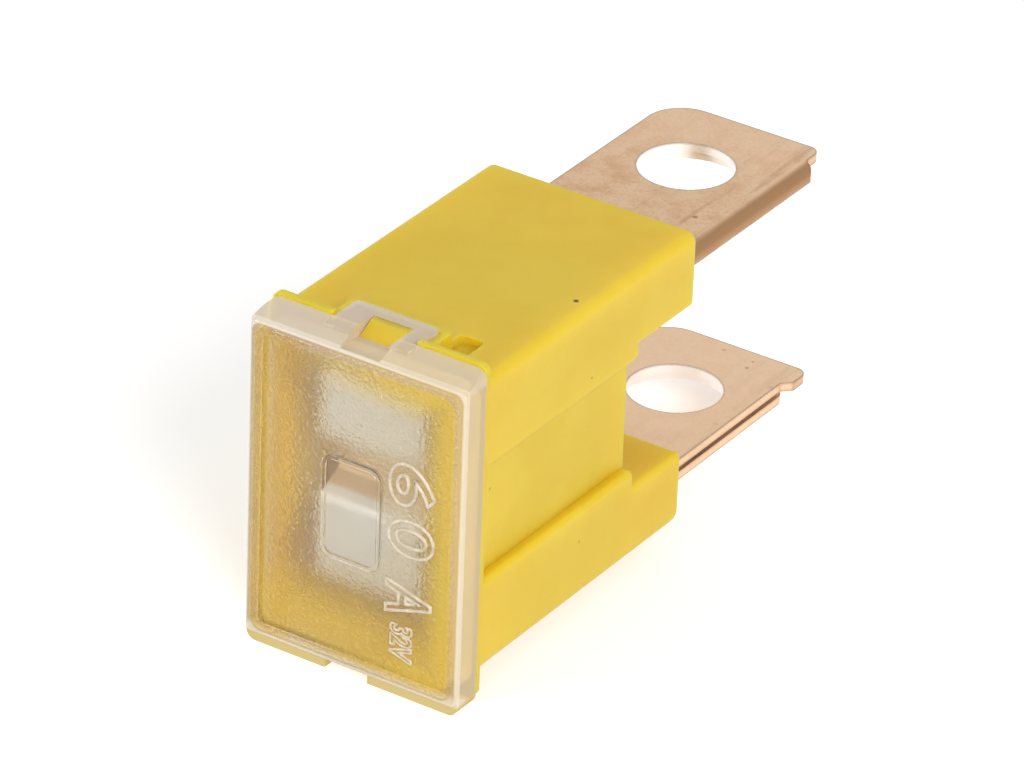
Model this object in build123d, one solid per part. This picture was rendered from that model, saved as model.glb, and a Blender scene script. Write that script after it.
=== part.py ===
"""Bolt-in automotive cartridge fuse: moulded housing, clear cover and one folded fuse element.

Millimetres. X runs across the narrow width, +Y runs from the window to the bolt terminals,
and Z is up. The origin is the bottom centre of the bounding box.
"""
from build123d import *
import os

# ---------------------------------------------------------------- driving dimensions

# Housing
housing_width = 13.3
housing_height = 17.9
housing_length = 19.6
housing_top_radius = 0.6
housing_bottom_radius = 1.2
flange_thickness = 0.4
flange_top_lip = 0.9
flange_bottom_lip = 1.1
flange_radius = 0.5

# Waist and the recess behind it, heights measured from the housing's bottom or top
waist_inset = 0.7
ledge_height = 5.8
overhang_depth = 5.35
rear_recess_length = 4.9
lower_sleeve_height = 4.7
upper_sleeve_height = 4.45
upper_sleeve_overrun = 0.5
lip_overrun = 0.15
lip_round = 0.4
waist_rear_wall = 1.4
waist_side_wall = 0.85
housing_side_wall = 1.0
cavity_top_wall = 1.2
edge_round = 0.35

# Cover
cover_depth = 1.9
cover_plate_thickness = 0.8
cover_wall = 0.8
cover_side_lip = 0.05
cover_top_lip = 0.7
cover_radius = 0.6
plate_step_depth = 0.15
plate_below_housing = 0.8
plate_above_housing = 0.1
plate_radius = 0.4
plate_edge_round = 0.15
pad_drop = 0.55
pad_gap_width = 2.7
pad_gap_shift = -0.3
border_width = 0.75
panel_recess = 0.12
window_width = 3.7
window_height = 6.1
window_radius = 0.75
window_rim = 0.22
window_shift = -0.2

# Latch between cover and housing
tab_width = 5.2
tab_shift = -0.25
tab_reach = 2.2
tab_thickness = 0.65
tab_corner_radius = 0.3
latch_hole_width = 2.5
lug_width = 2.3
lug_height = 0.6
lug_length = 1.4
lug_crest_length = 0.4
rim_width = 0.45
rim_height = 0.45
pocket_width = 1.5
pocket_length = 3.0
pocket_depth = 0.5
pocket_radius = 0.4

# Fuse element
leg_reach = 16.0
sheet_thickness = 0.52
hem_gap = 0.16
hem_overhang = 0.1
hem_corner_radius = 0.7
hem_hole_radius = 3.2
upper_leg_depth = 2.2
lower_leg_height = 0.6
fold_reach = 5.0
upper_free_reach = 4.85
lower_free_reach = 4.4
upper_ear_reach = 4.9
lower_ear_reach = 4.95
bolt_hole_radius = 2.7
bolt_hole_to_tip = 6.1
tip_radius = 2.3
ear_length = 1.55
ear_radius = 0.7
relief_width = 0.15
link_width = 6.4
link_thickness = 0.35
link_valley_depth = 1.7
link_bend_radius = 0.5
link_slope_height = 0.95
upper_face_height = 3.8
valley_height = 3.8
lower_face_height = 4.7
link_setback = 1.1
taper_length = 2.4

# Named clearances
slot_clearance = 0.05
latch_clearance = 0.05
cut_margin = 1.0
match_tolerance = 0.01

# ---------------------------------------------------------------- derived places

overall_length = cover_depth + housing_length + leg_reach
front_y = -overall_length / 2
flange_front_y = front_y + cover_depth
flange_rear_y = flange_front_y + flange_thickness
housing_rear_y = flange_front_y + housing_length
upper_sleeve_rear_y = housing_rear_y + upper_sleeve_overrun
waist_rear_y = housing_rear_y - rear_recess_length
tip_y = housing_rear_y + leg_reach
bolt_hole_y = tip_y - bolt_hole_to_tip

plate_bottom_z = pad_drop
housing_bottom_z = plate_bottom_z + plate_below_housing
housing_top_z = housing_bottom_z + housing_height
waist_width = housing_width - 2 * waist_inset
plate_top_z = housing_top_z + plate_above_housing
plate_height = plate_top_z - plate_bottom_z
flange_bottom_z = housing_bottom_z - flange_bottom_lip
flange_top_z = housing_top_z + flange_top_lip
cover_top_z = housing_top_z + cover_top_lip
cover_width = housing_width + 2 * cover_side_lip

leg_thickness = 2 * sheet_thickness + hem_gap
upper_leg_top_z = housing_top_z - upper_leg_depth
upper_leg_bottom_z = upper_leg_top_z - leg_thickness
lower_leg_bottom_z = housing_bottom_z + lower_leg_height
lower_leg_top_z = lower_leg_bottom_z + leg_thickness
fold_outer_reach = fold_reach + leg_thickness / 2
hem_end_y = tip_y - ear_length - relief_width

cavity_floor_z = lower_leg_bottom_z - slot_clearance
cavity_top_z = housing_top_z - cavity_top_wall
cavity_rear_y = waist_rear_y - waist_rear_wall


# ---------------------------------------------------------------- helpers

def rounded_section(width, bottom_z, top_z, bottom_radius, top_radius):
    """An X by Z rectangle whose lower and upper corners are rounded."""
    outline = Pos(0, (bottom_z + top_z) / 2) * Rectangle(width, top_z - bottom_z)
    lower = outline.vertices().group_by(Axis.Y)[0]
    outline = fillet(lower, bottom_radius)
    upper = outline.vertices().group_by(Axis.Y)[-1]
    return fillet(upper, top_radius)


def prism_y(section, start_y, end_y):
    """Extrude an X by Z section along Y from start_y to end_y."""
    placed = Plane.XZ.offset(-start_y) * section
    return extrude(placed, amount=start_y - end_y)


def prism_x(section, start_x, end_x):
    """Extrude a Y by Z section along X from start_x to end_x."""
    placed = Plane.YZ.offset(start_x) * section
    return extrude(placed, amount=end_x - start_x)


def prism_z(section, start_z, end_z):
    """Extrude an X by Y section along Z from start_z to end_z."""
    placed = Plane.XY.offset(start_z) * section
    return extrude(placed, amount=end_z - start_z)


def bar(low, high):
    """A box given by its lowest and highest corners."""
    size = [high[axis] - low[axis] for axis in range(3)]
    centre = [(high[axis] + low[axis]) / 2 for axis in range(3)]
    return Pos(*centre) * Box(*size)


# ---------------------------------------------------------------- housing

def housing_shell():
    """The outer block with its front flange."""
    block = prism_y(
        rounded_section(
            housing_width, housing_bottom_z, housing_top_z, housing_bottom_radius, housing_top_radius
        ),
        flange_front_y,
        upper_sleeve_rear_y,
    )
    flange = prism_y(
        rounded_section(housing_width, flange_bottom_z, flange_top_z, flange_radius, flange_radius),
        flange_front_y,
        flange_rear_y,
    )
    return block + flange


def waist_profile():
    """Side view, Y by Z, of all that is cut away between the lower and the upper sleeve."""
    ledge_z = housing_bottom_z + ledge_height
    floor_z = housing_bottom_z + lower_sleeve_height
    overhang_z = housing_top_z - overhang_depth
    ceiling_z = housing_top_z - upper_sleeve_height
    lip_y = waist_rear_y + lip_overrun
    end_y = upper_sleeve_rear_y + cut_margin
    profile = make_face(
        Polyline(
            (flange_rear_y, ledge_z),
            (lip_y, ledge_z),
            (lip_y, floor_z),
            (end_y, floor_z),
            (end_y, ceiling_z),
            (lip_y, ceiling_z),
            (lip_y, overhang_z),
            (flange_rear_y, overhang_z),
            close=True,
        )
    )
    on_lip = profile.vertices().filter_by(lambda corner: abs(corner.X - lip_y) < match_tolerance)
    step_corners = on_lip.sort_by(Axis.Y)
    return fillet([step_corners[1], step_corners[2]], lip_round)


def waist_cut():
    """The two side recesses and the open space behind the waist."""
    profile = waist_profile()
    outside_x = housing_width / 2 + cut_margin
    right = prism_x(profile, waist_width / 2, outside_x)
    left = prism_x(profile, -outside_x, -waist_width / 2)
    behind = prism_x(profile, -outside_x, outside_x) & bar(
        (-outside_x, waist_rear_y, 0), (outside_x, tip_y, flange_top_z)
    )
    return right + left + behind


def trim_lower_sleeve():
    """What is cut off behind the lower sleeve, which ends short of the upper one."""
    outside_x = housing_width / 2 + cut_margin
    return bar(
        (-outside_x, housing_rear_y, 0),
        (outside_x, upper_sleeve_rear_y + cut_margin, housing_bottom_z + ledge_height),
    )


def soften_sleeves(body):
    """Round the outer edges of both sleeves, around their rear faces and along the recess."""
    side_x = housing_width / 2
    floor_z = housing_bottom_z + lower_sleeve_height
    ceiling_z = housing_top_z - upper_sleeve_height

    def along_recess(edge):
        in_height = floor_z - match_tolerance < edge.center().Z < ceiling_z + match_tolerance
        on_side = abs(abs(edge.center().X) - side_x) < match_tolerance
        return in_height and on_side and edge.center().Y > flange_rear_y + match_tolerance

    def on_rear(edge):
        spread = edge.bounding_box()
        at_end = abs(spread.min.Y - housing_rear_y) < match_tolerance
        at_end = at_end or abs(spread.min.Y - upper_sleeve_rear_y) < match_tolerance
        return at_end and spread.size.Y < match_tolerance

    return fillet(body.edges().filter_by(along_recess) + body.edges().filter_by(on_rear), edge_round)


def terminal_slot(bottom_z, top_z, low_x, high_x):
    """A slot through a rear sleeve, wide enough for the fold and for the ear at the tip."""
    return bar(
        (low_x - slot_clearance, cavity_rear_y - cut_margin, bottom_z - slot_clearance),
        (high_x + slot_clearance, upper_sleeve_rear_y + cut_margin, top_z + slot_clearance),
    )


def cavity():
    """The chamber that holds the link, open to the front, with an even wall behind the waist's steps."""
    front = flange_front_y - cut_margin
    wide = housing_width / 2 - housing_side_wall
    narrow = waist_width / 2 - waist_side_wall
    ledge_z = housing_bottom_z + ledge_height - waist_side_wall
    overhang_z = housing_top_z - overhang_depth + waist_side_wall
    lower = bar((-wide, front, cavity_floor_z), (wide, cavity_rear_y, ledge_z))
    middle = bar((-narrow, front, ledge_z), (narrow, cavity_rear_y, overhang_z))
    upper = bar((-wide, front, overhang_z), (wide, cavity_rear_y, cavity_top_z))
    return lower + middle + upper


def latch_rim():
    """The raised rim on the housing's top that frames the cover's tab."""
    inner_half = tab_width / 2 + latch_clearance
    inner_rear_y = flange_front_y + tab_reach + latch_clearance
    low_z = housing_top_z - rim_height
    top_z = housing_top_z + rim_height
    outer = bar(
        (tab_shift - inner_half - rim_width, flange_front_y, low_z),
        (tab_shift + inner_half + rim_width, inner_rear_y + rim_width, top_z),
    )
    return fillet(outer.edges().filter_by(Axis.Z).group_by(Axis.Y)[-1], rim_width)


def tab_channel():
    """The flat channel in flange and rim where the cover's tab lies."""
    inner_half = tab_width / 2 + latch_clearance
    return bar(
        (tab_shift - inner_half, flange_front_y - cut_margin, housing_top_z),
        (tab_shift + inner_half, flange_front_y + tab_reach + latch_clearance, flange_top_z + cut_margin),
    )


def latch_lug():
    """The wedge that snaps into the hole of the cover's tab."""
    rear_y = flange_front_y + lug_length
    profile = make_face(
        Polyline(
            (flange_front_y, housing_top_z - rim_height),
            (rear_y, housing_top_z - rim_height),
            (rear_y, housing_top_z + lug_height),
            (rear_y - lug_crest_length, housing_top_z + lug_height),
            (flange_front_y, housing_top_z),
            close=True,
        )
    )
    return prism_x(profile, -lug_width / 2, lug_width / 2)


def release_pocket():
    """The sunk pocket beside the tab, where a tool reaches the latch."""
    start_x = tab_shift + tab_width / 2 + latch_clearance + rim_width
    section = Pos(start_x + pocket_width / 2, flange_rear_y + pocket_length / 2) * Rectangle(
        pocket_width, pocket_length
    )
    section = fillet(section.vertices().group_by(Axis.Y)[-1], pocket_radius)
    return prism_z(section, housing_top_z - pocket_depth, flange_top_z - edge_round)


def make_housing():
    """The moulded housing: shell, waist, chamber, slots and latch."""
    body = housing_shell() - waist_cut() - trim_lower_sleeve()
    body = soften_sleeves(body)
    body = body + latch_rim() - tab_channel() + latch_lug()
    body = body - release_pocket() - cavity()
    upper_low_x = -upper_free_reach - hem_overhang
    upper_slot = terminal_slot(upper_leg_bottom_z, upper_leg_top_z, upper_low_x, fold_outer_reach)
    lower_slot = terminal_slot(
        lower_leg_bottom_z, lower_leg_top_z, -fold_outer_reach, lower_ear_reach
    )
    return body - upper_slot - lower_slot


# ---------------------------------------------------------------- cover

def cover_front_recess():
    """The sunk panel on the front face, around the raised window."""
    centre_z = (plate_bottom_z + plate_top_z) / 2
    panel_width = cover_width - 2 * border_width
    panel_height = plate_height - 2 * border_width
    panel = Pos(0, centre_z) * RectangleRounded(panel_width, panel_height, plate_radius)
    window = Pos(window_shift, centre_z) * RectangleRounded(window_width, window_height, window_radius)
    return prism_y(panel - window, front_y - cut_margin, front_y + panel_recess)


def cover_window_recess():
    """The clear window, sunk inside its raised rim."""
    centre_z = (plate_bottom_z + plate_top_z) / 2
    clear = Pos(window_shift, centre_z) * RectangleRounded(
        window_width - 2 * window_rim, window_height - 2 * window_rim, window_radius - window_rim
    )
    return prism_y(clear, front_y - cut_margin, front_y + panel_recess)


def cover_ramp():
    """The wedge above the cover's top, which rises from the front plate to the flange."""
    start_y = front_y + plate_step_depth
    wedge = make_face(
        Polyline(
            (start_y, plate_top_z),
            (flange_front_y, cover_top_z),
            (flange_front_y, cover_top_z + cut_margin),
            (start_y, cover_top_z + cut_margin),
            close=True,
        )
    )
    outside_x = cover_width / 2 + cut_margin
    return prism_x(wedge, -outside_x, outside_x)


def cover_tab():
    """The latch tab that reaches back over the housing's top."""
    half = tab_width / 2
    tab_bottom_z = housing_top_z
    tab_top_z = tab_bottom_z + tab_thickness
    tab = bar(
        (tab_shift - half, flange_front_y - cover_wall, tab_bottom_z),
        (tab_shift + half, flange_front_y + tab_reach, tab_top_z),
    )
    return fillet(tab.edges().filter_by(Axis.Z).group_by(Axis.Y)[-1], tab_corner_radius)


def cover_latch_hole():
    """The square hole in the tab, from the front plate to just behind the lug."""
    half = latch_hole_width / 2
    return bar(
        (-half, front_y + plate_step_depth, housing_top_z),
        (half, flange_front_y + lug_length + latch_clearance, flange_top_z + cut_margin),
    )


def make_cover():
    """The clear cover: stepped cap, sunk panel, window, bottom pads and latch tab."""
    plate = prism_y(
        rounded_section(cover_width, plate_bottom_z, plate_top_z, plate_radius, plate_radius),
        front_y,
        flange_front_y,
    )
    front_edges = plate.faces().sort_by(Axis.Y)[0].edges()
    plate = fillet(front_edges, plate_edge_round)
    skirt = prism_y(
        rounded_section(cover_width, 0, cover_top_z, cover_radius, cover_radius),
        front_y + plate_step_depth,
        flange_front_y,
    )
    inside = prism_y(
        rounded_section(
            cover_width - 2 * cover_wall,
            plate_bottom_z + cover_wall,
            plate_top_z - cover_wall,
            plate_radius,
            plate_radius,
        ),
        front_y + cover_plate_thickness,
        flange_front_y + cut_margin,
    )
    pad_gap = bar(
        (pad_gap_shift - pad_gap_width / 2, front_y - cut_margin, -cut_margin),
        (pad_gap_shift + pad_gap_width / 2, flange_front_y + cut_margin, plate_bottom_z),
    )
    body = plate + (skirt - cover_ramp()) - inside - pad_gap + cover_tab() - cover_latch_hole()
    return body - cover_front_recess() - cover_window_recess()


# ---------------------------------------------------------------- fuse element

def leaf_outline(start_y, low_x, high_x, ear_x):
    """Plan view of a main leaf: a large tip corner on -X and an ear with a sloped start on +X."""
    ear_y = tip_y - ear_length
    slope = max(0, ear_x - high_x)
    leaf = make_face(
        Polyline(
            (low_x, start_y),
            (high_x, start_y),
            (high_x, ear_y - slope),
            (ear_x, ear_y),
            (ear_x, tip_y),
            (low_x, tip_y),
            close=True,
        )
    )
    leaf = fillet(leaf.vertices().group_by(Axis.Y)[-1].sort_by(Axis.X)[0], tip_radius)
    return fillet(leaf.vertices().group_by(Axis.Y)[-1].sort_by(Axis.X)[-1], ear_radius)


def hem_section(free_reach):
    """X by Z section of a hem folded under on +X, below a leaf whose top is at zero."""
    outer = leg_thickness / 2
    ring = Circle(outer) - Circle(hem_gap / 2)
    bend = Pos(fold_reach, -outer) * (ring & Pos(outer / 2, 0) * Rectangle(outer, 2 * outer))
    flap_length = fold_reach + free_reach + hem_overhang
    flap_z = -leg_thickness + sheet_thickness / 2
    flap = Pos(fold_reach - flap_length / 2, flap_z) * Rectangle(flap_length, sheet_thickness)
    return bend + flap


def hem_outline(start_y, low_x, high_x):
    """Plan view of a hem, its tip corners rounded like the leaf's."""
    outline = make_face(
        Polyline(
            (low_x, start_y),
            (high_x, start_y),
            (high_x, hem_end_y),
            (low_x, hem_end_y),
            close=True,
        )
    )
    outline = fillet(outline.vertices().group_by(Axis.Y)[-1].sort_by(Axis.X)[0], tip_radius)
    return fillet(outline.vertices().group_by(Axis.Y)[-1].sort_by(Axis.X)[-1], hem_corner_radius)


def bolt_bore(radius, bottom_z, top_z):
    """The round hole for the bolt, between two levels."""
    section = Pos(0, bolt_hole_y) * Circle(radius)
    return prism_z(section, bottom_z, top_z)


def upper_terminal(start_y, hem_start_y):
    """The upper terminal, folded under on +X, with its top face at zero height."""
    leaf = prism_z(
        leaf_outline(start_y, -upper_free_reach, fold_reach, upper_ear_reach), -sheet_thickness, 0
    )
    outline = hem_outline(hem_start_y, -upper_free_reach - hem_overhang, fold_outer_reach)
    hem = prism_y(hem_section(upper_free_reach), hem_start_y, hem_end_y)
    return pierced(leaf, hem & prism_z(outline, -leg_thickness, 0))


def lower_terminal(start_y, hem_start_y):
    """The lower terminal, folded under on -X, with its top face at zero height."""
    leaf = prism_z(
        leaf_outline(start_y, -fold_reach, lower_free_reach, lower_ear_reach), -sheet_thickness, 0
    )
    outline = hem_outline(hem_start_y, -fold_outer_reach, lower_free_reach + hem_overhang)
    section = mirror(hem_section(lower_free_reach), about=Plane.YZ)
    hem = prism_y(section, hem_start_y, hem_end_y)
    return pierced(leaf, hem & prism_z(outline, -leg_thickness, 0))


def pierced(leaf, hem):
    """Leaf and hem in one, with the bolt hole in the leaf and a wider one in the hem."""
    leaf_bore = bolt_bore(bolt_hole_radius, -leg_thickness, cut_margin)
    hem_bore = bolt_bore(hem_hole_radius, -leg_thickness - cut_margin, -sheet_thickness)
    return (leaf - leaf_bore) + (hem - hem_bore)


def link_strip(upper_leaf_z, lower_leaf_z, leaf_end_y):
    """The folded link: down from the upper leaf, two faces behind the window, back to the lower one."""
    near_y = front_y + cover_plate_thickness + link_setback + link_thickness / 2
    far_y = near_y + link_valley_depth
    valley_top_z = upper_leaf_z - upper_face_height
    valley_low_z = valley_top_z - valley_height
    low_face_z = valley_low_z - lower_face_height
    path = FilletPolyline(
        (leaf_end_y + taper_length / 2, upper_leaf_z),
        (near_y, upper_leaf_z),
        (near_y, valley_top_z),
        (far_y, valley_top_z - link_slope_height),
        (far_y, valley_low_z + link_slope_height),
        (near_y, valley_low_z),
        (near_y, low_face_z),
        (leaf_end_y, lower_leaf_z),
        (leaf_end_y + taper_length / 2, lower_leaf_z),
        radius=link_bend_radius,
    )
    section = trace(path, link_thickness)
    return prism_x(section, -link_width / 2, link_width / 2)


def shoulder(leaf_top_z, leaf_end_y, low_x, high_x):
    """The tapered end of a leaf, from terminal width down to the link's width."""
    wide_y = leaf_end_y + taper_length
    outline = make_face(
        Polyline(
            (-link_width / 2, leaf_end_y),
            (link_width / 2, leaf_end_y),
            (high_x, wide_y),
            (low_x, wide_y),
            close=True,
        )
    )
    return prism_z(outline, leaf_top_z - sheet_thickness, leaf_top_z)


def make_fuse_element():
    """The one-piece element: two hemmed terminals joined by the folded link."""
    leaf_end_y = front_y + cover_plate_thickness + link_setback + 2 * link_valley_depth
    start_y = leaf_end_y + taper_length
    hem_start_y = cavity_rear_y - taper_length
    upper = Pos(0, 0, upper_leg_top_z) * upper_terminal(start_y, hem_start_y)
    lower = Pos(0, 0, lower_leg_top_z) * lower_terminal(start_y, hem_start_y)
    link = link_strip(
        upper_leg_top_z - sheet_thickness / 2, lower_leg_top_z - sheet_thickness / 2, leaf_end_y
    )
    return (
        upper
        + lower
        + link
        + shoulder(upper_leg_top_z, leaf_end_y, -upper_free_reach, fold_reach)
        + shoulder(lower_leg_top_z, leaf_end_y, -fold_reach, lower_free_reach)
    )


# ---------------------------------------------------------------- export

PARTS = {
    "housing": make_housing,
    "cover": make_cover,
    "fuse_element": make_fuse_element,
}

os.makedirs("parts", exist_ok=True)
for name, builder in PARTS.items():
    export_step(builder(), f"parts/{name}.step")
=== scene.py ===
"""Looks of a bolt-in automotive cartridge fuse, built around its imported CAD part.

X runs across the narrow width, +Y from the window to the bolt terminals, Z is up, in metres.
The three CAD nodes keep their shape and get their finishes here. The rating marks are modelled
here.
"""
import logging
import math
from dataclasses import dataclass, field
from enum import Enum
from typing import Any, Iterable

import bpy
from mathutils import Matrix, Vector


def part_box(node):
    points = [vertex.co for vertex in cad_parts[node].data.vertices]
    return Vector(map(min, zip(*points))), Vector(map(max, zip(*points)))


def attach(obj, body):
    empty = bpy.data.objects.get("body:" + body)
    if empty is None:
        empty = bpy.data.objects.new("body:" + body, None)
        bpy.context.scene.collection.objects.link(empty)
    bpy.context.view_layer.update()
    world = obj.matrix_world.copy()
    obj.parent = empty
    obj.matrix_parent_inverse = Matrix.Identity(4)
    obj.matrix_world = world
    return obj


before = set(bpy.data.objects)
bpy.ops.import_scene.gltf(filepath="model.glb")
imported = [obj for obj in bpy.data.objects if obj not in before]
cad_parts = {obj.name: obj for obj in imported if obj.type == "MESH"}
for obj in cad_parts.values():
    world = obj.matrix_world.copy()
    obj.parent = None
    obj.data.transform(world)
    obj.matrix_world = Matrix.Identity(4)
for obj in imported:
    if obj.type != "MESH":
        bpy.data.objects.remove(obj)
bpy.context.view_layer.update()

BODY = "root"
MM = 0.001
LOG = logging.getLogger("cartridge_fuse")

# Settings of a smooth Map Range node, and of a Mix node that mixes colours, with its inputs.
SMOOTH = {"interpolation_type": "SMOOTHSTEP"}
COLOURS = {"data_type": "RGBA", "output": 2}
FACTOR, UNDER, OVER = 0, 6, 7


# ---------------------------------------------------------------- small tools

def linear(hex_colour: str) -> tuple[float, float, float, float]:
    """Turns an sRGB hex colour into linear RGBA.

    Args:
        hex_colour: Six hex digits with a leading #.

    Returns:
        Red, green, blue and an alpha of 1, in linear light.
    """
    parts = [int(hex_colour[start:start + 2], 16) / 255 for start in (1, 3, 5)]
    red, green, blue = (
        part / 12.92 if part <= 0.04045 else ((part + 0.055) / 1.055) ** 2.4 for part in parts
    )
    return red, green, blue, 1.0


def grain(size_mm: float) -> float:
    """Texture scale, in cells per metre, of a pattern whose grain is size_mm wide."""
    return 1.0 / (size_mm * MM)


def add_node(
    tree: bpy.types.NodeTree,
    kind: str,
    inputs: dict[Any, Any] | None = None,
    output: int | str = 0,
    **settings: Any,
) -> bpy.types.NodeSocket:
    """Adds a shader node, sets its properties and fills its inputs.

    Args:
        tree: The node tree that gets the node.
        kind: The node's type name, without ShaderNode in front.
        inputs: Input names or numbers, each with a value or an output socket to link.
        output: Name or number of the output that is wanted.
        settings: The node's properties and their values.

    Returns:
        The wanted output socket, which also leads to the node.
    """
    node = tree.nodes.new(f"ShaderNode{kind}")
    for name, value in settings.items():
        setattr(node, name, value)
    for key, value in (inputs or {}).items():
        if isinstance(value, bpy.types.NodeSocket):
            tree.links.new(value, node.inputs[key])
        else:
            node.inputs[key].default_value = value
    return node.outputs[output]


def new_material(
    name: str,
) -> tuple[bpy.types.Material, bpy.types.NodeTree, bpy.types.NodeSocket]:
    """Makes an empty node material.

    Args:
        name: The material's name.

    Returns:
        The material, its node tree and the socket that takes its surface.
    """
    material = bpy.data.materials.new(name)
    material.use_nodes = True
    tree = material.node_tree
    tree.nodes.clear()
    surface = tree.nodes.new("ShaderNodeOutputMaterial").inputs["Surface"]
    return material, tree, surface


@dataclass(frozen=True)
class Ramp:
    """A smooth change from low to high while a reading goes from start to end."""

    start: float
    end: float
    low: float
    high: float

    def inputs(self, reading: bpy.types.NodeSocket, unit: float = 1.0) -> dict[int, Any]:
        """The inputs of a Map Range node; start and end are given in units of the reading."""
        return {0: reading, 1: self.start * unit, 2: self.end * unit, 3: self.low, 4: self.high}


@dataclass(frozen=True)
class RoundedRectangle:
    """A rounded rectangle in X and Z, for masks that follow the cover's outlines."""

    centre_mm: tuple[float, float]
    half_mm: tuple[float, float]
    corner_mm: float = 0.7

    def distance(
        self,
        tree: bpy.types.NodeTree,
        across: bpy.types.NodeSocket,
        height: bpy.types.NodeSocket,
    ) -> bpy.types.NodeSocket:
        """How far a point lies outside the rectangle; negative inside it.

        Args:
            tree: The node tree that gets the nodes.
            across: The point's X.
            height: The point's Z.

        Returns:
            The distance's socket, in metres.
        """
        sides = []
        for reading, centre, half in zip((across, height), self.centre_mm, self.half_mm):
            offset = add_node(tree, "Math", {0: reading, 1: centre * MM}, operation="SUBTRACT")
            offset = add_node(tree, "Math", {0: offset}, operation="ABSOLUTE")
            reach = (half - self.corner_mm) * MM
            sides.append(add_node(tree, "Math", {0: offset, 1: reach}, operation="SUBTRACT"))
        squares = []
        for side in sides:
            beyond = add_node(tree, "Math", {0: side, 1: 0.0}, operation="MAXIMUM")
            squares.append(add_node(tree, "Math", {0: beyond, 1: 2.0}, operation="POWER"))
        outside = add_node(tree, "Math", {0: squares[0], 1: squares[1]}, operation="ADD")
        outside = add_node(tree, "Math", {0: outside}, operation="SQRT")
        inside = add_node(tree, "Math", {0: sides[0], 1: sides[1]}, operation="MAXIMUM")
        inside = add_node(tree, "Math", {0: inside, 1: 0.0}, operation="MINIMUM")
        total = add_node(tree, "Math", {0: outside, 1: inside}, operation="ADD")
        return add_node(tree, "Math", {0: total, 1: self.corner_mm * MM}, operation="SUBTRACT")


@dataclass(frozen=True)
class Mark:
    """A small speck or stain at a fixed place."""

    place_mm: tuple[float, float, float]
    radius_mm: float
    strength: float


# How a mark fades, from share to share of its radius.
MARK_FADE = (0.6, 1.2)


def spots(
    tree: bpy.types.NodeTree, position: bpy.types.NodeSocket, marks: Iterable[Mark]
) -> bpy.types.NodeSocket:
    """A mask that shows each small mark and fades at its rim.

    Args:
        tree: The node tree that gets the nodes.
        position: The point on the object.
        marks: The marks to draw.

    Returns:
        The mask's socket.
    """
    total: Any = 0.0
    for mark in marks:
        distance = add_node(
            tree,
            "VectorMath",
            {0: position, 1: Vector(mark.place_mm) * MM},
            "Value",
            operation="DISTANCE",
        )
        fade = Ramp(*MARK_FADE, mark.strength, 0.0)
        here = add_node(tree, "MapRange", fade.inputs(distance, mark.radius_mm * MM), **SMOOTH)
        total = add_node(tree, "Math", {0: total, 1: here}, operation="MAXIMUM")
    return total


def plainly_seen(tree: bpy.types.NodeTree) -> bpy.types.NodeSocket:
    """A mask for rays that show the background: from the camera, off gloss and through plastic.

    Args:
        tree: The node tree that gets the nodes.

    Returns:
        The mask's socket, 1 for such rays.
    """
    rays = add_node(tree, "LightPath").node.outputs
    seen = add_node(
        tree, "Math", {0: rays["Is Camera Ray"], 1: rays["Is Glossy Ray"]}, operation="MAXIMUM"
    )
    return add_node(tree, "Math", {0: seen, 1: rays["Is Transmission Ray"]}, operation="MAXIMUM")


# ---------------------------------------------------------------- finishes

@dataclass(frozen=True)
class HousingNylon:
    """Injection-moulded nylon, dyed through.

    To the eye it is matt and evenly yellow. Its thin walls let light through, so recesses and the
    inside of the chamber glow towards orange, and a few dust specks sit on it.
    """

    name: str = "moulded_yellow_nylon"
    body: str = "#DCB81C"
    pale: str = "#E0BD28"
    speck: str = "#3A2A08"
    mottle_mm: float = 6.0
    mottling: Ramp = Ramp(0.35, 0.65, 0.0, 1.0)
    # The mould's spark-eroded texture, drawn coarser than the real one so that it shows.
    texture_mm: float = 0.16
    texture_depth_mm: float = 0.02
    texture_strength: float = 0.12
    roughness: float = 0.5
    refraction: float = 1.53
    glow_share: float = 0.9
    glow_radius: tuple[float, float, float] = (1.0, 0.95, 0.15)
    glow_depth_mm: float = 3.0
    marks: tuple[Mark, ...] = (
        Mark((5.62, -6.98, 19.25), 0.16, 0.95),
        Mark((6.65, -10.89, 19.04), 0.09, 0.5),
        Mark((6.65, -6.58, 19.24), 0.08, 0.4),
        Mark((6.65, -6.74, 14.91), 0.08, 0.6),
        Mark((6.65, -2.98, 7.1), 0.1, 0.6),
        Mark((5.95, -15.05, 11.87), 0.1, 0.45),
        Mark((6.65, -7.29, 5.22), 0.1, 0.4),
    )

    def build(self) -> bpy.types.Material:
        """Builds the nylon.

        Returns:
            The material.
        """
        material, tree, surface = new_material(self.name)
        position = add_node(tree, "TexCoord", output="Object")
        mottle = add_node(
            tree,
            "TexNoise",
            {"Vector": position, "Scale": grain(self.mottle_mm), "Detail": 3.0, "Roughness": 0.6},
        )
        paleness = add_node(tree, "MapRange", self.mottling.inputs(mottle), **SMOOTH)
        colour: Any = linear(self.body)
        specks = spots(tree, position, self.marks)
        for mask, over in ((paleness, self.pale), (specks, self.speck)):
            layer = {FACTOR: mask, UNDER: colour, OVER: linear(over)}
            colour = add_node(tree, "Mix", layer, **COLOURS)
        texture = add_node(
            tree, "TexNoise", {"Vector": position, "Scale": grain(self.texture_mm), "Detail": 2.0}
        )
        bump = add_node(
            tree,
            "Bump",
            {
                "Height": texture,
                "Strength": self.texture_strength,
                "Distance": self.texture_depth_mm * MM,
            },
        )
        shader = add_node(
            tree,
            "BsdfPrincipled",
            {
                "Base Color": colour,
                "Roughness": self.roughness,
                "IOR": self.refraction,
                "Subsurface Weight": self.glow_share,
                "Subsurface Radius": self.glow_radius,
                "Subsurface Scale": self.glow_depth_mm * MM,
                "Normal": bump,
            },
        )
        tree.links.new(shader, surface)
        return material


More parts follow.
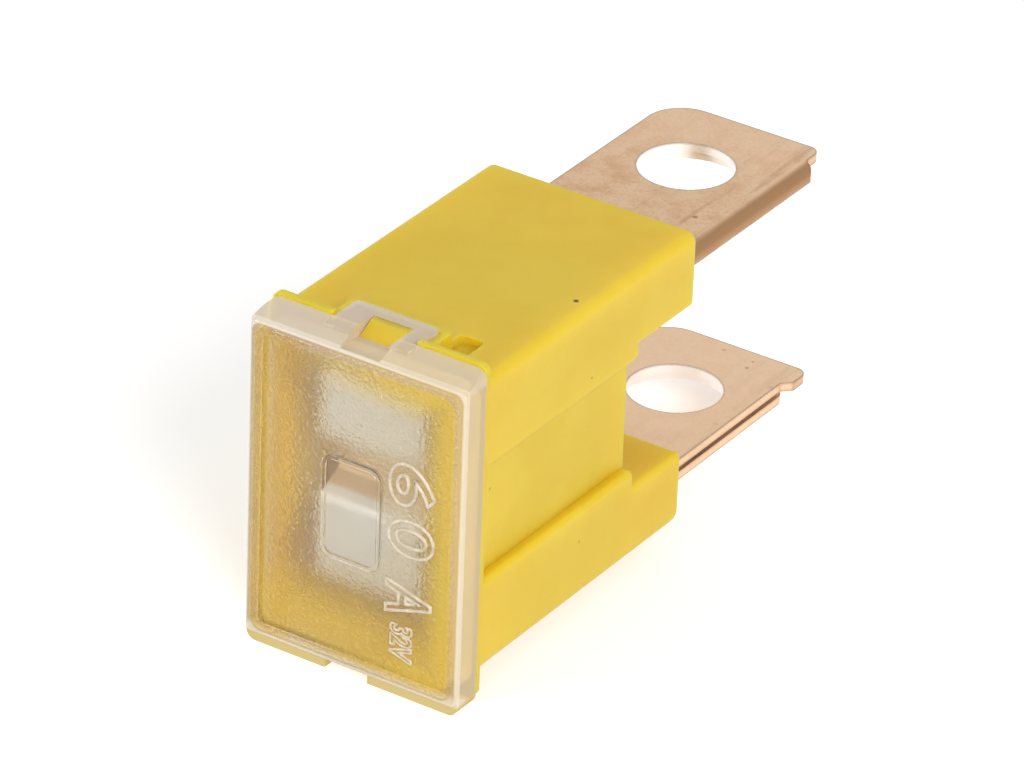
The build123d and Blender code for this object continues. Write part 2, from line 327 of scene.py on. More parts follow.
@dataclass(frozen=True)
class CoverPoint:
    """What the cover's masks read of a point: its place, its outlines and the areas it is in."""

    across: bpy.types.NodeSocket
    depth: bpy.types.NodeSocket
    height: bpy.types.NodeSocket
    from_panel: bpy.types.NodeSocket
    from_plate: bpy.types.NodeSocket
    front: bpy.types.NodeSocket
    off_window: bpy.types.NodeSocket
    grained: bpy.types.NodeSocket


@dataclass(frozen=True)
class ClearCover:
    """Injection-moulded clear plastic, leather-grained over its front.

    To the eye its border is milky white with painted highlights along its edges, and the housing's
    yellow behind it, partly seen through and partly a painted glow;
    the grained front breaks up what lies behind and glints, partly through painted whitish specks,
    and the small window is clear.
    """

    name: str = "moulded_clear_plastic"
    tint: str = "#ECE5D9"
    warm: str = "#E6CB90"
    passed: str = "#ECEBEA"
    refraction: float = 1.5

    # The panel's leather grain and the outlines that the masks follow.
    grain_mm: float = 0.23
    grain_depth_mm: float = 0.14
    panel: RoundedRectangle = RoundedRectangle((0.0, 9.95), (5.95, 8.65))
    grained_area: RoundedRectangle = RoundedRectangle((0.0, 9.95), (6.35, 9.1))
    window: RoundedRectangle = RoundedRectangle((-0.2, 9.95), (1.85, 3.05))
    plate: RoundedRectangle = RoundedRectangle((0.0, 9.95), (6.7, 9.4))
    on_front: Ramp = Ramp(-18.45, -18.3, 1.0, 0.0)
    in_grained_area: Ramp = Ramp(-0.1, 0.1, 1.0, 0.0)
    off_window: Ramp = Ramp(0.0, 0.1, 0.0, 1.0)
    roughness: Ramp = Ramp(0.0, 1.0, 0.08, 0.22)

    # How clear the plastic is over the panel and border, and what makes it milky: whitish specks
    # on the grain's crests that are partly frost and partly painted glints, painted highlight
    # lines along the edges, and milk at the foot.
    clearness: Ramp = Ramp(-0.5, 0.4, 0.95, 0.79)
    grain_frost_and_glints: Ramp = Ramp(0.54, 0.66, 0.0, 0.13)
    painted_edge_highlight: Ramp = Ramp(-0.2, -0.05, 0.0, 0.55)
    foot_milk: Ramp = Ramp(1.0, 1.5, 0.4, 0.0)
    milk_behind_front: Ramp = Ramp(18.9, 19.3, 0.25, 0.6)

    # Where the panel takes on the warm tint: on the side away from the marks, and low down.
    warm_side: Ramp = Ramp(-4.6, -2.6, 1.0, 0.0)
    warm_foot: Ramp = Ramp(5.0, 6.8, 0.6, 0.0)

    # Painted glow: a yellow diffuse colour in the plastic that stands in for light scattered out
    # of the yellow housing, and for the housing seen through the pads.
    glow: str = "#E0C050"
    pad_painted_glow: str = "#C8B054"
    rim_painted_glow: Ramp = Ramp(-2.4, 0.0, 0.04, 0.4)
    rim_painted_glow_stop: Ramp = Ramp(0.0, 0.3, 1.0, 0.25)
    painted_glow_across: Ramp = Ramp(-5.0, 5.0, 0.3, 1.8)
    foot_painted_glow: Ramp = Ramp(2.5, 6.6, 0.4, 0.0)
    foot_painted_glow_stop: Ramp = Ramp(-0.3, 0.0, 1.0, 0.25)
    pad_painted_glow_share: Ramp = Ramp(0.45, 0.75, 0.75, 0.0)
    on_pads: Ramp = Ramp(0.45, 0.75, 1.0, 0.0)

    # Where the cover lies on the housing, and the nylon that shows there.
    behind: str = "#E4BC28"
    behind_roughness: float = 0.5
    behind_refraction: float = 1.5
    seat_mm: float = -16.85
    tab_seat_mm: float = 19.25
    seat_play_mm: float = 0.01

    def read_point(
        self, tree: bpy.types.NodeTree, position: bpy.types.NodeSocket
    ) -> CoverPoint:
        """Reads where a point lies on the cover.

        Args:
            tree: The node tree that gets the nodes.
            position: The point on the object.

        Returns:
            The readings that the masks share.
        """
        across, depth, height = add_node(tree, "SeparateXYZ", {0: position}).node.outputs
        front = add_node(tree, "MapRange", self.on_front.inputs(depth, MM), **SMOOTH)
        from_window = self.window.distance(tree, across, height)
        off_window = add_node(tree, "MapRange", self.off_window.inputs(from_window, MM), **SMOOTH)
        from_area = self.grained_area.distance(tree, across, height)
        area = add_node(tree, "MapRange", self.in_grained_area.inputs(from_area, MM), **SMOOTH)
        area = add_node(tree, "Math", {0: area, 1: off_window}, operation="MULTIPLY")
        return CoverPoint(
            across=across,
            depth=depth,
            height=height,
            from_panel=self.panel.distance(tree, across, height),
            from_plate=self.plate.distance(tree, across, height),
            front=front,
            off_window=off_window,
            grained=add_node(tree, "Math", {0: area, 1: front}, operation="MULTIPLY"),
        )

    def seated(self, tree: bpy.types.NodeTree, point: CoverPoint) -> bpy.types.NodeSocket:
        """A mask that is 1 where the cover lies on the housing: its rear rim and under its tab.

        Args:
            tree: The node tree that gets the nodes.
            point: The point's readings.

        Returns:
            The mask's socket.
        """
        seat, play = self.seat_mm * MM, self.seat_play_mm * MM
        on_seat = add_node(tree, "Math", {0: point.depth, 1: seat, 2: play}, operation="COMPARE")
        tab_seat = {0: point.height, 1: self.tab_seat_mm * MM, 2: play}
        on_tab_seat = add_node(tree, "Math", tab_seat, operation="COMPARE")
        past_seat = {0: point.depth, 1: seat}
        over_housing = add_node(tree, "Math", past_seat, operation="GREATER_THAN")
        under_tab = add_node(tree, "Math", {0: on_tab_seat, 1: over_housing}, operation="MULTIPLY")
        return add_node(tree, "Math", {0: on_seat, 1: under_tab}, operation="MAXIMUM")

    def transmission(
        self,
        tree: bpy.types.NodeTree,
        point: CoverPoint,
        leather: bpy.types.NodeSocket,
    ) -> bpy.types.NodeSocket:
        """How clear the plastic is: less in the border, in the grain's hollows, where whitish
        specks are partly painted glints, and along edges, where milky lines are painted
        highlights.

        Args:
            tree: The node tree that gets the nodes.
            point: The point's readings.
            leather: The grain's pattern.

        Returns:
            The share's socket.
        """
        # Whitish specks on the grain's crests: partly frost, partly painted glints.
        frost_and_glints = add_node(tree, "MapRange", self.grain_frost_and_glints.inputs(leather), **SMOOTH)
        frost_and_glints = add_node(tree, "Math", {0: frost_and_glints, 1: point.grained}, operation="MULTIPLY")
        # Milky lines along the plate's edges are painted highlights.
        painted_edge = add_node(tree, "MapRange", self.painted_edge_highlight.inputs(point.from_plate, MM), **SMOOTH)
        foot = add_node(tree, "MapRange", self.foot_milk.inputs(point.height, MM), **SMOOTH)
        milk_and_highlight = add_node(tree, "Math", {0: painted_edge, 1: foot}, operation="MAXIMUM")
        behind_front = self.milk_behind_front.inputs(point.height, MM)
        strength = add_node(tree, "MapRange", behind_front, **SMOOTH)
        strength = add_node(tree, "Math", {0: strength, 1: point.front}, operation="MAXIMUM")
        milk_and_highlight = add_node(tree, "Math", {0: milk_and_highlight, 1: strength}, operation="MULTIPLY")
        clear = add_node(tree, "MapRange", self.clearness.inputs(point.from_panel, MM), **SMOOTH)
        clear = add_node(tree, "Math", {0: clear, 1: frost_and_glints}, operation="SUBTRACT")
        return add_node(tree, "Math", {0: clear, 1: milk_and_highlight}, operation="SUBTRACT")

    def warmth(self, tree: bpy.types.NodeTree, point: CoverPoint) -> bpy.types.NodeSocket:
        """How much of the warm tint the panel shows.

        Args:
            tree: The node tree that gets the nodes.
            point: The point's readings.

        Returns:
            The share's socket.
        """
        side = add_node(tree, "MapRange", self.warm_side.inputs(point.across, MM), **SMOOTH)
        foot = add_node(tree, "MapRange", self.warm_foot.inputs(point.height, MM), **SMOOTH)
        warm = add_node(tree, "Math", {0: side, 1: foot}, operation="MAXIMUM")
        return add_node(tree, "Math", {0: warm, 1: point.grained}, operation="MULTIPLY")

    def painted_scatter(self, tree: bpy.types.NodeTree, point: CoverPoint) -> bpy.types.NodeSocket:
        """How much painted yellow glow the plastic shows, standing in for the housing's scattered
        light: at the panel's rim, its foot and the pads.

        Args:
            tree: The node tree that gets the nodes.
            point: The point's readings.

        Returns:
            The share's socket.
        """
        from_panel = point.from_panel
        painted_rim = add_node(tree, "MapRange", self.rim_painted_glow.inputs(from_panel, MM), **SMOOTH)
        across = self.painted_glow_across.inputs(point.across, MM)
        for fade in (self.rim_painted_glow_stop.inputs(from_panel, MM), across):
            share = add_node(tree, "MapRange", fade, **SMOOTH)
            painted_rim = add_node(tree, "Math", {0: painted_rim, 1: share}, operation="MULTIPLY")
        floor = add_node(tree, "MapRange", self.foot_painted_glow.inputs(point.height, MM), **SMOOTH)
        inside = add_node(tree, "MapRange", self.foot_painted_glow_stop.inputs(from_panel, MM), **SMOOTH)
        floor = add_node(tree, "Math", {0: floor, 1: inside}, operation="MULTIPLY")
        glow = add_node(tree, "Math", {0: painted_rim, 1: floor}, operation="MAXIMUM")
        glow = add_node(tree, "Math", {0: glow, 1: point.off_window}, operation="MULTIPLY")
        pads = add_node(tree, "MapRange", self.pad_painted_glow_share.inputs(point.height, MM), **SMOOTH)
        return add_node(tree, "Math", {0: pads, 1: glow}, operation="MAXIMUM")

    def build(self) -> bpy.types.Material:
        """Builds the clear plastic.

        Returns:
            The material.
        """
        material, tree, surface = new_material(self.name)
        position = add_node(tree, "TexCoord", output="Object")
        point = self.read_point(tree, position)
        leather = add_node(
            tree,
            "TexNoise",
            {"Vector": position, "Scale": grain(self.grain_mm), "Detail": 2.0, "Distortion": 0.4},
        )
        relief = add_node(tree, "Math", {0: leather, 1: point.grained}, operation="MULTIPLY")
        bump = add_node(
            tree,
            "Bump",
            {"Height": relief, "Strength": 1.0, "Distance": self.grain_depth_mm * MM},
        )
        warmed = {
            FACTOR: self.warmth(tree, point),
            UNDER: linear(self.tint),
            OVER: linear(self.warm),
        }
        clear = add_node(
            tree,
            "BsdfPrincipled",
            {
                "Base Color": add_node(tree, "Mix", warmed, **COLOURS),
                "Roughness": add_node(
                    tree, "MapRange", self.roughness.inputs(point.grained), **SMOOTH
                ),
                "IOR": self.refraction,
                "Transmission Weight": self.transmission(tree, point, leather),
                "Normal": bump,
            },
        )
        painted_glowing = {
            FACTOR: add_node(tree, "MapRange", self.on_pads.inputs(point.height, MM), **SMOOTH),
            UNDER: linear(self.glow),
            OVER: linear(self.pad_painted_glow),
        }
        glow = add_node(tree, "Mix", painted_glowing, **COLOURS)
        # Painted glow: a lit yellow diffuse layer stands in for the housing's light in the
        # plastic.
        painted_scattered = add_node(tree, "BsdfDiffuse", {0: glow, "Normal": bump})
        share = self.painted_scatter(tree, point)
        hazy = add_node(tree, "MixShader", {0: share, 1: clear, 2: painted_scattered})
        nylon = add_node(
            tree,
            "BsdfPrincipled",
            {
                "Base Color": linear(self.behind),
                "Roughness": self.behind_roughness,
                "IOR": self.behind_refraction,
            },
        )
        on_housing = self.seated(tree, point)
        seen = add_node(tree, "MixShader", {0: on_housing, 1: hazy, 2: nylon})
        # The plastic throws only a faint shadow, as the real one does.
        shadow_ray = add_node(tree, "LightPath", output="Is Shadow Ray")
        open_way = add_node(tree, "BsdfTransparent", {0: linear(self.passed)})
        mixed = add_node(tree, "MixShader", {0: shadow_ray, 1: seen, 2: open_way})
        tree.links.new(mixed, surface)
        return material


@dataclass(frozen=True)
class RaisedLine:
    """The cover's clear plastic where it stands up in thin lines: milky, with a bright gloss."""

    name: str = "raised_clear_plastic"
    tint: str = "#F6E9D0"
    roughness: float = 0.18
    refraction: float = 1.5
    cloud_mm: float = 0.5
    clearness: Ramp = Ramp(0.35, 0.65, 0.28, 0.53)

    def build(self) -> bpy.types.Material:
        """Builds the lines' plastic.

        Returns:
            The material.
        """
        material, tree, surface = new_material(self.name)
        position = add_node(tree, "TexCoord", output="Object")
        cloud = add_node(
            tree, "TexNoise", {"Vector": position, "Scale": grain(self.cloud_mm), "Detail": 2.0}
        )
        shader = add_node(
            tree,
            "BsdfPrincipled",
            {
                "Base Color": linear(self.tint),
                "Roughness": self.roughness,
                "IOR": self.refraction,
                "Transmission Weight": add_node(
                    tree, "MapRange", self.clearness.inputs(cloud), **SMOOTH
                ),
            },
        )
        tree.links.new(shader, surface)
        return material


@dataclass(frozen=True)
class CopperStrip:
    """Rolled copper alloy, satin and faintly mottled, with a tin coat on the link's faces.

    To the eye it is pinkish brown, paler at the tips and on the lower leg, browner on the fold,
    with thin dark rims of painted shade along its edges and a whitish link behind the window, with
    a painted yellow reflection of the housing in the link's valley.
    """

    name: str = "rolled_copper_alloy"
    copper: str = "#EAC7A2"
    tarnish: str = "#DAAE86"
    paler_copper: str = "#F6D6B4"
    streak: str = "#B98F66"
    browner_fold: str = "#B48A62"
    punched: str = "#FFFAF5"
    painted_rim: str = "#8A7466"
    stain: str = "#4E3A30"

    # Soft tarnish, and the paler lower leg and tips.
    mottle_mm: float = 1.6
    tarnishing: Ramp = Ramp(0.4, 0.75, 0.0, 0.8)
    between_legs_mm: float = 9.0
    lower_leg_paleness: float = 0.75
    tip_paleness: Ramp = Ramp(9.0, 17.0, 0.0, 0.45)

    # Streaks drawn out along the strip, and a fine speckle drawn coarse enough to show.
    streak_mm: float = 0.7
    streak_stretch: tuple[float, float, float] = (1.0, 0.1, 0.5)
    streaking: Ramp = Ramp(0.48, 0.72, 0.0, 0.8)
    streaks_across: Ramp = Ramp(0.0, 5.0, 0.15, 1.0)
    speckle_mm: float = 0.18
    speckling: Ramp = Ramp(0.45, 0.75, 0.0, 0.28)
    folding: Ramp = Ramp(4.75, 5.2, 0.0, 1.0)

    # Bright walls of the punched holes, wider in the hems, and painted shade: dark rims along all
    # edges.
    bore_y_mm: float = 12.65
    bore_wall: Ramp = Ramp(2.71, 2.75, 1.0, 0.0)
    hem_bore_wall: Ramp = Ramp(3.21, 3.25, 1.0, 0.0)
    lower_hem_top_mm: float = 2.6
    upper_hem_mm: tuple[float, float] = (16.1, 0.4)
    leaf_tops_mm: tuple[float, float] = (17.05, 3.15)
    leaf_top_play_mm: float = 0.12
    rim_mm: float = 0.25
    rim_samples: int = 4
    rim_shade_strength: Ramp = Ramp(0.8, 0.98, 0.8, 0.0)

    # The tin coat, with less of it showing in the link's valley, where its yellowish colour is a
    # painted reflection of the yellow housing.
    tin: str = "#DEE4E8"
    valley_tin_painted_reflection: str = "#CDBE92"
    tin_share: Ramp = Ramp(-16.3, -15.9, 1.0, 0.6)
    in_valley: Ramp = Ramp(-16.3, -15.9, 0.0, 1.0)
    valley_rear_mm: float = -14.5

    # Rolling lines, drawn coarser than the real ones so that they show.
    rolling_mm: float = 0.12
    rolling_stretch: tuple[float, float, float] = (1.0, 0.06, 1.0)
    rolling_depth_mm: float = 0.01
    rolling_strength: float = 0.15
    roughness: Ramp = Ramp(0.3, 0.7, 0.34, 0.48)
    metal: Ramp = Ramp(0.0, 1.0, 0.9, 0.35)
    marks: tuple[Mark, ...] = (
        Mark((3.51, 8.02, 17.05), 0.16, 0.55),
        Mark((5.6, 10.53, 16.17), 0.12, 0.7),
        Mark((1.99, 17.01, 3.15), 0.12, 0.45),
        Mark((4.25, 15.91, 3.15), 0.25, 0.12),
        Mark((3.9, 10.66, 3.15), 0.2, 0.1),
        Mark((-0.12, 17.97, 3.15), 0.16, 0.2),
        Mark((1.9, 17.79, 3.15), 0.1, 0.35),
    )

    def streaks_and_fold(
        self,
        tree: bpy.types.NodeTree,
        position: bpy.types.NodeSocket,
        across: bpy.types.NodeSocket,
        brown: bpy.types.NodeSocket,
    ) -> list[tuple[bpy.types.NodeSocket, str]]:
        """Streaks, speckle and the darker, browner fold.

        Args:
            tree: The node tree that gets the nodes.
            position: The point on the object.
            across: The point's X.
            brown: How far the copper is from pale.

        Returns:
            Each layer's mask and colour, in the order they are laid.
        """
        drawn = add_node(tree, "Mapping", {"Vector": position, "Scale": self.streak_stretch})
        streaks = add_node(
            tree,
            "TexNoise",
            {"Vector": drawn, "Scale": grain(self.streak_mm), "Detail": 4.0, "Roughness": 0.7},
        )
        streaks = add_node(tree, "MapRange", self.streaking.inputs(streaks), **SMOOTH)
        near_fold = add_node(tree, "MapRange", self.streaks_across.inputs(across, MM), **SMOOTH)
        streaks = add_node(tree, "Math", {0: streaks, 1: near_fold}, operation="MULTIPLY")
        streaks = add_node(tree, "Math", {0: streaks, 1: brown}, operation="MULTIPLY")
        speckle = add_node(
            tree, "TexNoise", {"Vector": position, "Scale": grain(self.speckle_mm), "Detail": 2.0}
        )
        speckle = add_node(tree, "MapRange", self.speckling.inputs(speckle), **SMOOTH)
        speckle = add_node(tree, "Math", {0: speckle, 1: brown}, operation="MULTIPLY")
        from_middle = add_node(tree, "Math", {0: across}, operation="ABSOLUTE")
        fold = add_node(tree, "MapRange", self.folding.inputs(from_middle, MM), **SMOOTH)
        return [(streaks, self.streak), (speckle, self.streak), (fold, self.browner_fold)]

    def hole_walls_and_painted_rims(
        self,
        tree: bpy.types.NodeTree,
        position: bpy.types.NodeSocket,
        height: bpy.types.NodeSocket,
    ) -> list[tuple[bpy.types.NodeSocket, str]]:
        """The holes' bright walls and painted shade as dark rims along all edges.

        Args:
            tree: The node tree that gets the nodes.
            position: The point on the object.
            height: The point's Z.

        Returns:
            Each layer's mask and colour, in the order they are laid.
        """
        in_plan = add_node(tree, "Mapping", {"Vector": position, "Scale": (1.0, 1.0, 0.0)})
        bore = {0: in_plan, 1: (0.0, self.bore_y_mm * MM, 0.0)}
        from_bore = add_node(tree, "VectorMath", bore, "Value", operation="DISTANCE")
        wall = add_node(tree, "MapRange", self.bore_wall.inputs(from_bore, MM), **SMOOTH)
        hem_wall = add_node(tree, "MapRange", self.hem_bore_wall.inputs(from_bore, MM), **SMOOTH)
        lower_hem_top = self.lower_hem_top_mm * MM
        lower_hem = add_node(tree, "Math", {0: height, 1: lower_hem_top}, operation="LESS_THAN")
        middle, reach = (size * MM for size in self.upper_hem_mm)
        upper_hem = add_node(tree, "Math", {0: height, 1: middle, 2: reach}, operation="COMPARE")
        hems = add_node(tree, "Math", {0: lower_hem, 1: upper_hem}, operation="MAXIMUM")
        hem_wall = add_node(tree, "Math", {0: hem_wall, 1: hems}, operation="MULTIPLY")
        wall = add_node(tree, "Math", {0: wall, 1: hem_wall}, operation="MAXIMUM")

        # Painted shade: edges darken where the rounded normal turns away from the face.
        rounded = add_node(tree, "Bevel", {"Radius": self.rim_mm * MM}, samples=self.rim_samples)
        flat = add_node(tree, "NewGeometry", output="Normal")
        agreement = add_node(
            tree, "VectorMath", {0: rounded, 1: flat}, "Value", operation="DOT_PRODUCT"
        )
        painted_shade_rims = add_node(tree, "MapRange", self.rim_shade_strength.inputs(agreement), **SMOOTH)
        rimmed = add_node(tree, "Math", {0: 1.0, 1: wall}, operation="SUBTRACT")
        for top_mm in self.leaf_tops_mm:
            leaf_top = {0: height, 1: top_mm * MM, 2: self.leaf_top_play_mm * MM}
            on_top = add_node(tree, "Math", leaf_top, operation="COMPARE")
            rimmed = add_node(tree, "Math", {0: rimmed, 1: on_top}, operation="MAXIMUM")
        painted_shade_rims = add_node(tree, "Math", {0: painted_shade_rims, 1: rimmed}, operation="MULTIPLY")
        return [(wall, self.punched), (painted_shade_rims, self.painted_rim)]

    def build(self) -> bpy.types.Material:
        """Builds the copper strip's finish.

        Returns:
            The material.
        """
        material, tree, surface = new_material(self.name)
        position = add_node(tree, "TexCoord", output="Object")
        across, depth, height = add_node(tree, "SeparateXYZ", {0: position}).node.outputs

        mottle = add_node(
            tree,
            "TexNoise",
            {"Vector": position, "Scale": grain(self.mottle_mm), "Detail": 4.0, "Roughness": 0.65},
        )
        tarnished = add_node(tree, "MapRange", self.tarnishing.inputs(mottle), **SMOOTH)
        between_legs = self.between_legs_mm * MM
        paler = add_node(tree, "Math", {0: height, 1: between_legs}, operation="LESS_THAN")
        lower_leg = {0: paler, 1: self.lower_leg_paleness}
        paler = add_node(tree, "Math", lower_leg, operation="MULTIPLY")
        tips = add_node(tree, "MapRange", self.tip_paleness.inputs(depth, MM), **SMOOTH)
        paler = add_node(tree, "Math", {0: paler, 1: tips}, operation="MAXIMUM")
        brown = add_node(tree, "Math", {0: 1.0, 1: paler}, operation="SUBTRACT")

        coat = add_node(tree, "MapRange", self.tin_share.inputs(depth, MM), **SMOOTH)
        valley_rear = self.valley_rear_mm * MM
        on_link = add_node(tree, "Math", {0: depth, 1: valley_rear}, operation="LESS_THAN")
        coat = add_node(tree, "Math", {0: coat, 1: on_link}, operation="MULTIPLY")
        valley = add_node(tree, "MapRange", self.in_valley.inputs(depth, MM), **SMOOTH)
        # In the valley the tin takes a painted reflection of the yellow housing.
        tins = {FACTOR: valley, UNDER: linear(self.tin), OVER: linear(self.valley_tin_painted_reflection)}
        tin = add_node(tree, "Mix", tins, **COLOURS)

        layers: list[tuple[bpy.types.NodeSocket, Any]] = [
            (tarnished, self.tarnish),
            (paler, self.paler_copper),
            *self.streaks_and_fold(tree, position, across, brown),
            *self.hole_walls_and_painted_rims(tree, position, height),
            (coat, tin),
            (spots(tree, position, self.marks), self.stain),
        ]
        colour: Any = linear(self.copper)
        for mask, over in layers:
            over = linear(over) if isinstance(over, str) else over
            colour = add_node(tree, "Mix", {FACTOR: mask, UNDER: colour, OVER: over}, **COLOURS)

        along = add_node(tree, "Mapping", {"Vector": position, "Scale": self.rolling_stretch})
        rolling = add_node(
            tree, "TexNoise", {"Vector": along, "Scale": grain(self.rolling_mm), "Detail": 2.0}
        )
        bump = add_node(
            tree,
            "Bump",
            {
                "Height": rolling,
                "Strength": self.rolling_strength,
                "Distance": self.rolling_depth_mm * MM,
            },
        )
        shader = add_node(
            tree,
            "BsdfPrincipled",
            {
                "Base Color": colour,
                "Metallic": add_node(tree, "MapRange", self.metal.inputs(coat), **SMOOTH),
                "Roughness": add_node(tree, "MapRange", self.roughness.inputs(mottle), **SMOOTH),
                "Normal": bump,
            },
        )
        tree.links.new(shader, surface)
        return material


@dataclass(frozen=True)
class PaleTable:
    """Matt white table that shows plain white but keeps a soft shadow."""

    name: str = "matt_white_table"
    colour: str = "#F2F2F2"
    lift: float = 0.36

    def build(self) -> bpy.types.Material:
        """Builds the table's finish.

        Returns:
            The material.
        """
        material, tree, surface = new_material(self.name)
        matt = add_node(tree, "BsdfDiffuse", {0: linear(self.colour)})
        glow = add_node(tree, "Emission", {"Strength": self.lift})
        lifted = add_node(tree, "AddShader", {0: matt, 1: glow})
        mixed = add_node(tree, "MixShader", {0: plainly_seen(tree), 1: matt, 2: lifted})
        tree.links.new(mixed, surface)
        return material


# ---------------------------------------------------------------- modelling tools

def deselect_all() -> None:
    """Leaves edit mode and deselects every object."""
    if bpy.context.object and bpy.context.object.mode != "OBJECT":
        bpy.ops.object.mode_set(mode="OBJECT")
    bpy.ops.object.select_all(action="DESELECT")


def select_only(piece: bpy.types.Object) -> None:
    """Selects one object and makes it active.

    Args:
        piece: The object.
    """
    deselect_all()
    piece.select_set(True)
    bpy.context.view_layer.objects.active = piece


def settle(piece: bpy.types.Object) -> None:
    """Moves an object's place, turn and size into its mesh, so that it sits at the origin."""
    select_only(piece)
    bpy.ops.object.transform_apply(location=True, rotation=True, scale=True)


def dress(piece: bpy.types.Object, material: bpy.types.Material) -> None:
    """Gives every material slot of an object one finish.

    Args:
        piece: The object.
        material: The finish.
    """
    if not piece.material_slots:
        piece.data.materials.append(material)
    for slot in piece.material_slots:
        slot.material = material


# ---------------------------------------------------------------- sub-assemblies

@dataclass
class RatingMark:
    """One raised character on the front panel, read downwards, with its top towards +X."""

    text: str
    centre_x_mm: float
    centre_z_mm: float
    height_mm: float
    width_mm: float
    fatten_mm: float
    line_mm: float = 0.2
    curve_steps: int = 6
    round_steps: int = 3

    def fit_outline(self, curve: bpy.types.Curve) -> None:
        """Scales a character's outline to the mark's size, around the origin.

        Args:
            curve: The outline, as the text tool gives it.
        """
        points = [point for spline in curve.splines for point in spline.bezier_points]
        for point in points:
            point.handle_left_type = "FREE"
            point.handle_right_type = "FREE"
        margin = self.line_mm + 2 * self.fatten_mm
        scales = []
        middles = []
        for axis, size in ((0, self.width_mm), (1, self.height_mm)):
            places = [point.co[axis] for point in points]
            scales.append((size - margin) * MM / (max(places) - min(places)))
            middles.append((max(places) + min(places)) / 2)
        for point in points:
            for handle in ("handle_left", "handle_right", "co"):
                old = getattr(point, handle).copy()
                moved = ((old.x - middles[0]) * scales[0], (old.y - middles[1]) * scales[1], 0.0)
                setattr(point, handle, Vector(moved))

    def build(self, line_y: float) -> bpy.types.Object:
        """Models the mark as thin round lines along the character's outline.

        Args:
            line_y: Y of the lines' centres, in metres.

        Returns:
            The mark's mesh object, in place.
        """
        deselect_all()
        bpy.ops.object.text_add()
        bpy.context.object.data.body = self.text
        bpy.context.object.data.resolution_u = self.curve_steps
        bpy.ops.object.convert(target="CURVE")
        curve = bpy.context.object.data
        self.fit_outline(curve)
        curve.dimensions = "2D"
        curve.fill_mode = "NONE"
        curve.offset = self.fatten_mm * MM
        curve.bevel_depth = self.line_mm / 2 * MM
        curve.bevel_resolution = self.round_steps
        bpy.ops.object.convert(target="MESH")
        piece = bpy.context.object
        down_the_panel = Matrix(((0, 1, 0), (0, 0, -1), (-1, 0, 0))).to_4x4()
        centre = Vector((self.centre_x_mm * MM, line_y, self.centre_z_mm * MM))
        piece.matrix_world = Matrix.Translation(centre) @ down_the_panel
        settle(piece)
        return piece


@dataclass
class RatingMarks:
    """The raised outline characters that give the fuse's rating."""

    finish: bpy.types.Material
    sink_mm: float = 0.11
    marks: tuple[RatingMark, ...] = (
        RatingMark("6", 3.53, 12.78, 2.98, 2.65, 0.07),
        RatingMark("0", 3.56, 9.66, 2.98, 2.3, 0.05),
        RatingMark("A", 3.5, 5.93, 2.98, 2.1, 0.06),
        RatingMark("32V", 3.11, 3.26, 1.47, 2.25, 0.04, line_mm=0.13),
    )

    def build(self) -> bpy.types.Object:
        """Models all marks and joins them on the sunk front panel.

        Returns:
            The joined marks.
        """
        line_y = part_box("cover")[0].y + self.sink_mm * MM
        outlines = [mark.build(line_y) for mark in self.marks]
        deselect_all()
        for piece in outlines:
            piece.select_set(True)
        bpy.context.view_layer.objects.active = outlines[0]
        bpy.ops.object.join()
        piece = bpy.context.object
        piece.name = "rating_marks"
        bpy.ops.object.shade_smooth()
        dress(piece, self.finish)
        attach(piece, BODY)
        return piece


@dataclass
class Fuse:
    """The fuse: three CAD nodes with their finishes, and the rating marks."""

    housing: HousingNylon = field(default_factory=HousingNylon)
    cover: ClearCover = field(default_factory=ClearCover)
    element: CopperStrip = field(default_factory=CopperStrip)
    raised: RaisedLine = field(default_factory=RaisedLine)

    def build(self) -> list[bpy.types.Object]:
        """Dresses the CAD nodes and models the marks.

        Returns:
            The objects that were dressed or made.
        """
        finishes = {
            "housing": self.housing.build(),
            "cover": self.cover.build(),
            "fuse_element": self.element.build(),
        }
        for node, finish in finishes.items():
            dress(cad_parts[node], finish)
        marks = RatingMarks(self.raised.build()).build()
        return [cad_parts[node] for node in finishes] + [marks]


# ---------------------------------------------------------------- studio

class Lamp(Enum):
    """The studio's lamps: place in mm, size in mm and power in watts."""

    KEY = ((420.0, -260.0, 330.0), 260.0, 2.2)
    FILL = ((-420.0, -380.0, 300.0), 380.0, 1.1)
    GLINT = ((-350.0, -480.0, 60.0), 70.0, 0.12)


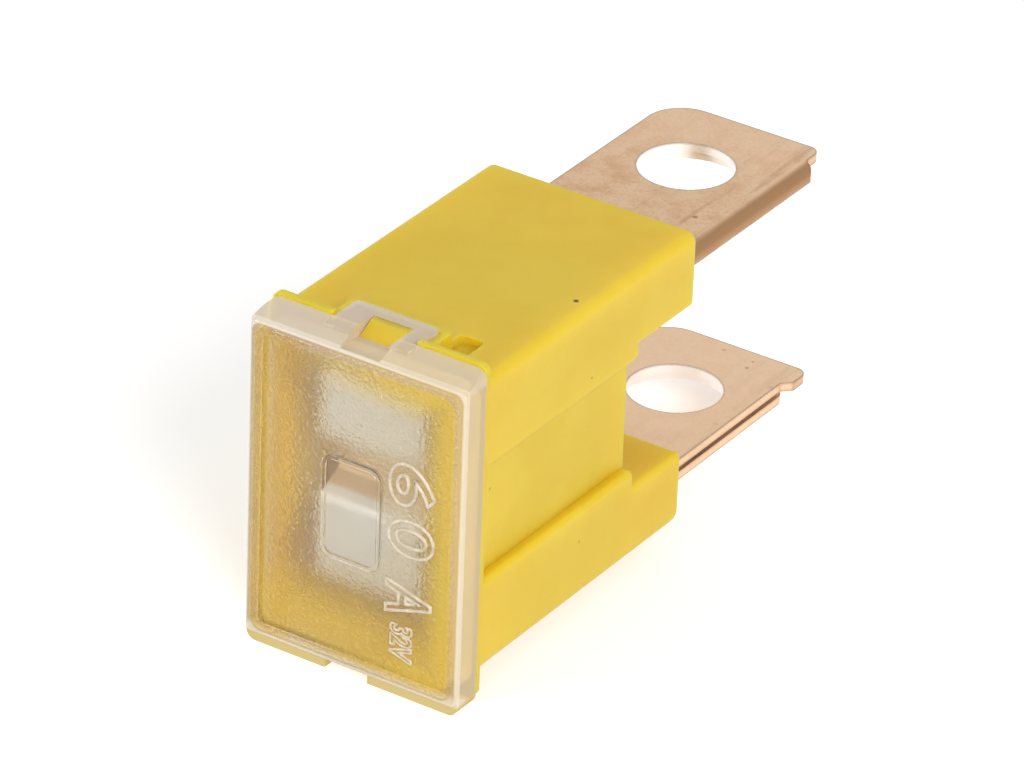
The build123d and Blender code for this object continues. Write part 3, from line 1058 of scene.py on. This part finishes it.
@dataclass
class Studio:
    """Pale table, soft lamps, white surround and the camera."""

    aim_mm: tuple[float, float, float] = (0.0, -4.03, 10.96)
    distance_mm: float = 378.296
    azimuth_deg: float = 32.6
    elevation_deg: float = 29.656
    roll_deg: float = 2.228
    lens_mm: float = 250.836
    sensor_mm: float = 36.0
    nearest_m: float = 0.01
    surround: float = 0.62
    table_size_m: float = 3.0

    def table(self) -> None:
        """Makes the table top under the fuse."""
        deselect_all()
        bpy.ops.mesh.primitive_plane_add(size=self.table_size_m, location=(0, 0, 0))
        top = bpy.context.object
        top.name = "table_top"
        dress(top, PaleTable().build())

    def lamps(self) -> None:
        """Adds the soft lamps, each turned to the fuse."""
        for lamp in Lamp:
            place_mm, size_mm, watts = lamp.value
            location = Vector(place_mm) * MM
            deselect_all()
            bpy.ops.object.light_add(type="AREA", location=location)
            light = bpy.context.object
            light.name = f"lamp_{lamp.name.lower()}"
            light.data.shape = "DISK"
            light.data.size = size_mm * MM
            light.data.energy = watts
            aim = Vector(self.aim_mm) * MM - location
            light.rotation_euler = aim.to_track_quat("-Z", "Y").to_euler()

    def white_surround(self) -> None:
        """Lights the scene evenly and shows plain white behind the table."""
        world = bpy.data.worlds.new("white_surround")
        bpy.context.scene.world = world
        world.use_nodes = True
        tree = world.node_tree
        tree.nodes.clear()
        level = Ramp(0.0, 1.0, self.surround, 1.0)
        strength = add_node(tree, "MapRange", level.inputs(plainly_seen(tree)), **SMOOTH)
        sky = add_node(tree, "Background", {"Strength": strength})
        tree.links.new(sky, tree.nodes.new("ShaderNodeOutputWorld").inputs["Surface"])

    def camera(self) -> None:
        """Adds the camera on its azimuth, elevation and roll around the aim point."""
        azimuth = math.radians(self.azimuth_deg)
        elevation = math.radians(self.elevation_deg)
        back = Vector((
            math.sin(azimuth) * math.cos(elevation),
            -math.cos(azimuth) * math.cos(elevation),
            math.sin(elevation),
        ))
        right = Vector((math.cos(azimuth), math.sin(azimuth), 0.0))
        facing = Matrix((right, back.cross(right), back)).transposed()
        turn = facing @ Matrix.Rotation(math.radians(self.roll_deg), 3, "Z")
        deselect_all()
        place = Vector(self.aim_mm) * MM + back * self.distance_mm * MM
        bpy.ops.object.camera_add(location=place)
        camera = bpy.context.object
        camera.rotation_euler = turn.to_euler()
        camera.data.sensor_width = self.sensor_mm
        camera.data.lens = self.lens_mm
        camera.data.clip_start = self.nearest_m
        bpy.context.scene.camera = camera

    def build(self) -> None:
        """Sets up the whole studio."""
        self.table()
        self.lamps()
        self.white_surround()
        self.camera()
        bpy.context.scene.view_settings.view_transform = "Standard"


def main() -> None:
    """Builds the fuse and the studio and reports each piece."""
    logging.basicConfig(level=logging.INFO)
    for piece in Fuse().build():
        LOG.info("%s: %d faces", piece.name, len(piece.data.polygons))
    Studio().build()


if __name__ == "__main__":
    main()
